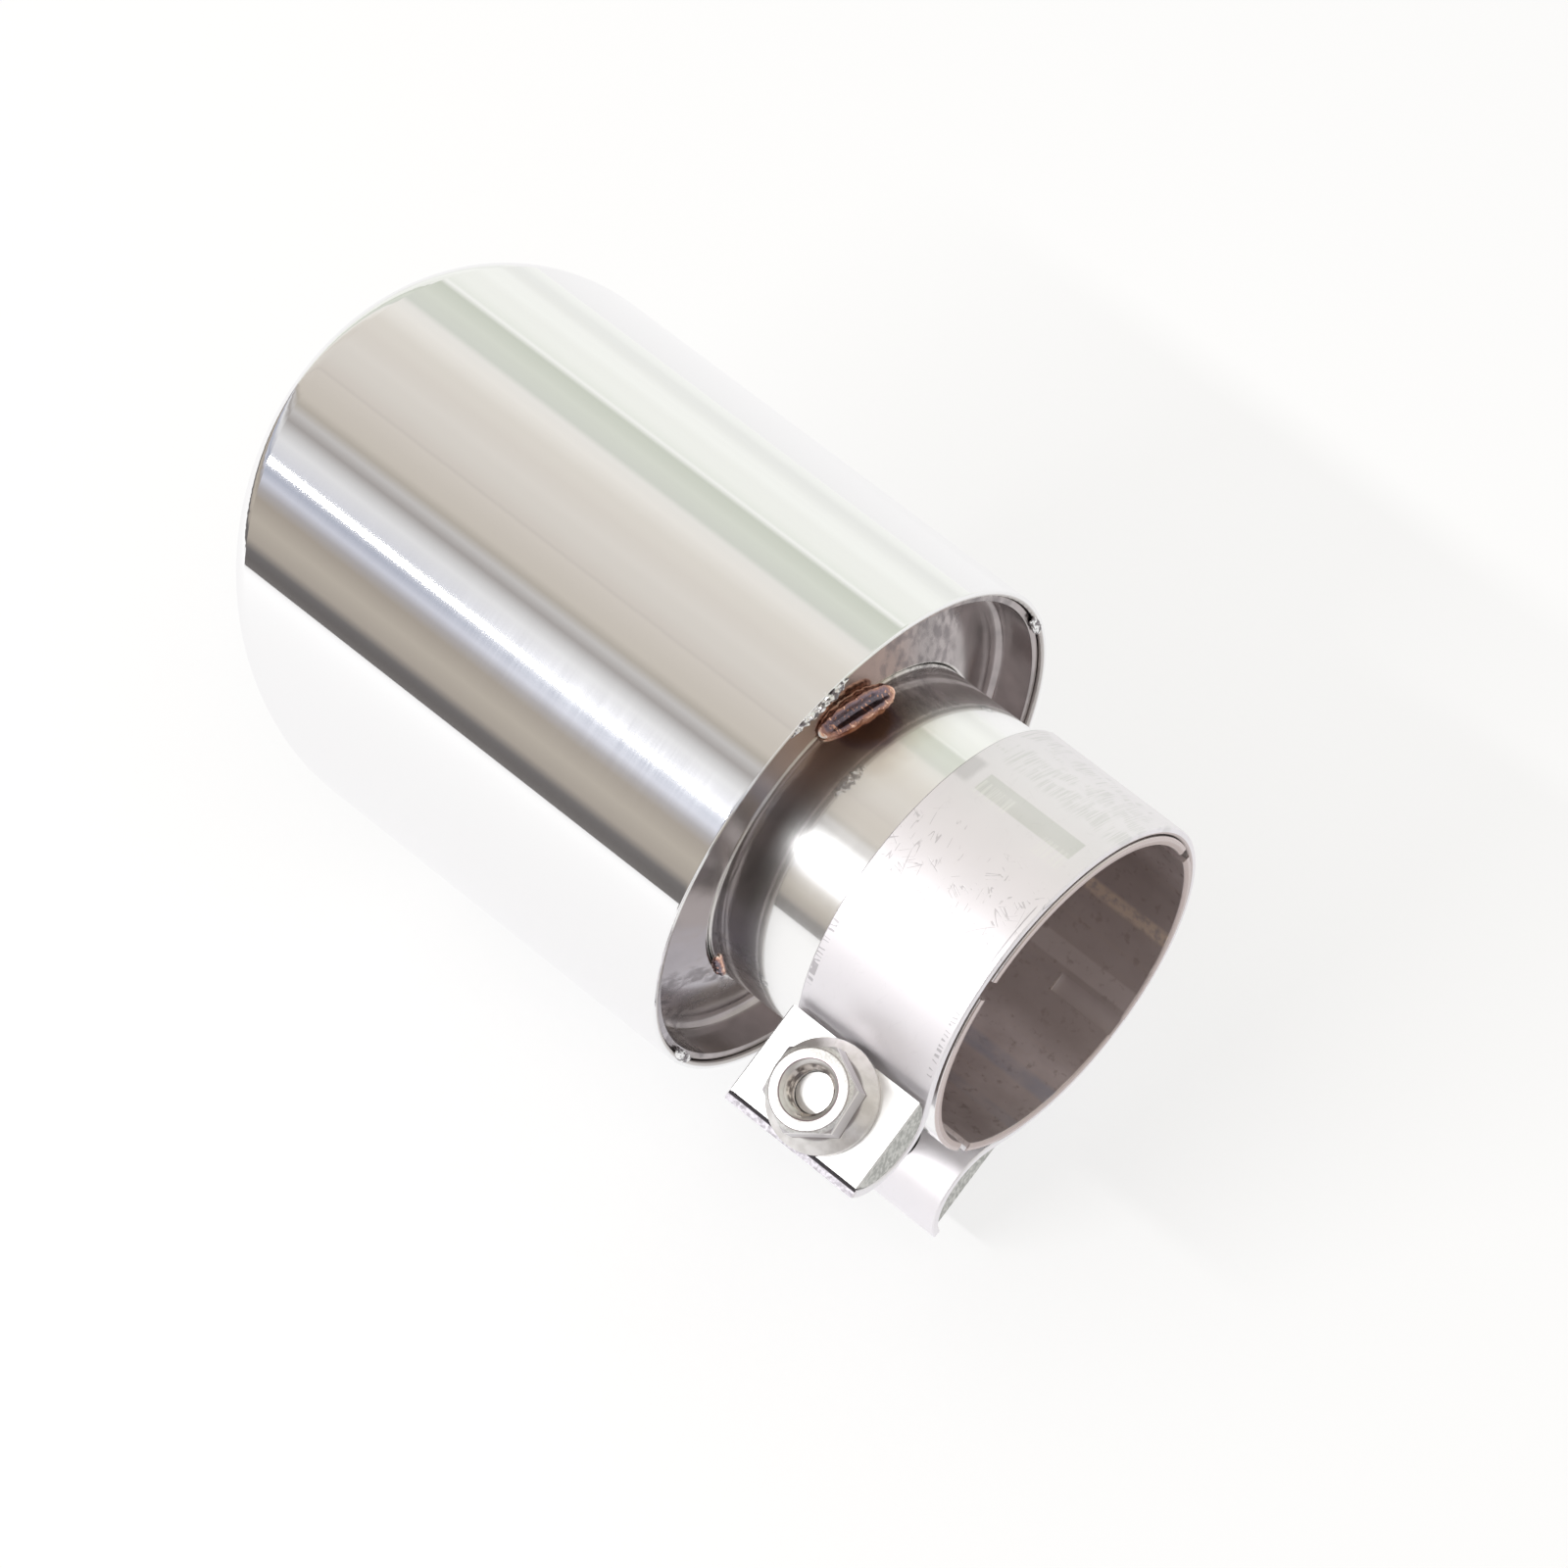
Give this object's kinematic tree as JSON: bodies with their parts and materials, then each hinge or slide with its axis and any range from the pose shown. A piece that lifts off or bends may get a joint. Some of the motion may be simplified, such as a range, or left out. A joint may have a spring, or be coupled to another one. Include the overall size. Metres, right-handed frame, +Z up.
{
  "type": "exhaust tip",
  "caption": "Slash-cut exhaust tip: polished rolled-lip shell welded by a dished back plate to a slotted inlet pipe, with a bolted strap clamp.",
  "frame": {"origin": "centre of the inlet pipe's open end, on the pipe's axis; the part lies on its side with the floor 44.5 mm below the axis", "axes": "+X along the pipe's axis, out of the inlet's open end; +Z up, as it lies at rest; +Y completes a right-handed frame, with the clamp's ears on the -Y side"},
  "size_m": [0.1449, 0.0933, 0.089],
  "materials": {
    "polished_steel": "mirror-polished stainless steel with faint circumferential polishing lines",
    "pipe_steel": "bright stainless tube, heat-tinted brown and blue at its welds and inside",
    "plate_steel": "pressed stainless sheet, satin, with brown stains and grime",
    "strap_steel": "dull satin strip with rubbed bright patches and fine dark scratches",
    "spacer_steel": "drawn half-round bar, bright flats and sheared ends",
    "fastener_steel": "satin stainless nut and bolt",
    "weld_metal": "rippled weld bead, tinted copper and purple"
  },
  "bodies": {
    "root": {"outer_shell": "polished_steel", "back_plate": "plate_steel", "inlet_pipe": "pipe_steel", "pipe_weld_top": "weld_metal", "pipe_weld_side": "weld_metal", "pipe_weld_far": "weld_metal", "rim_weld_top": "weld_metal", "rim_weld_side": "weld_metal", "rim_weld_low": "weld_metal", "rim_weld_far": "weld_metal", "clamp_strap": "strap_steel", "upper_spacer": "spacer_steel", "lower_spacer": "spacer_steel", "clamp_bolt": "fastener_steel", "flange_nut": "fastener_steel"}
  },
  "joints": []
}
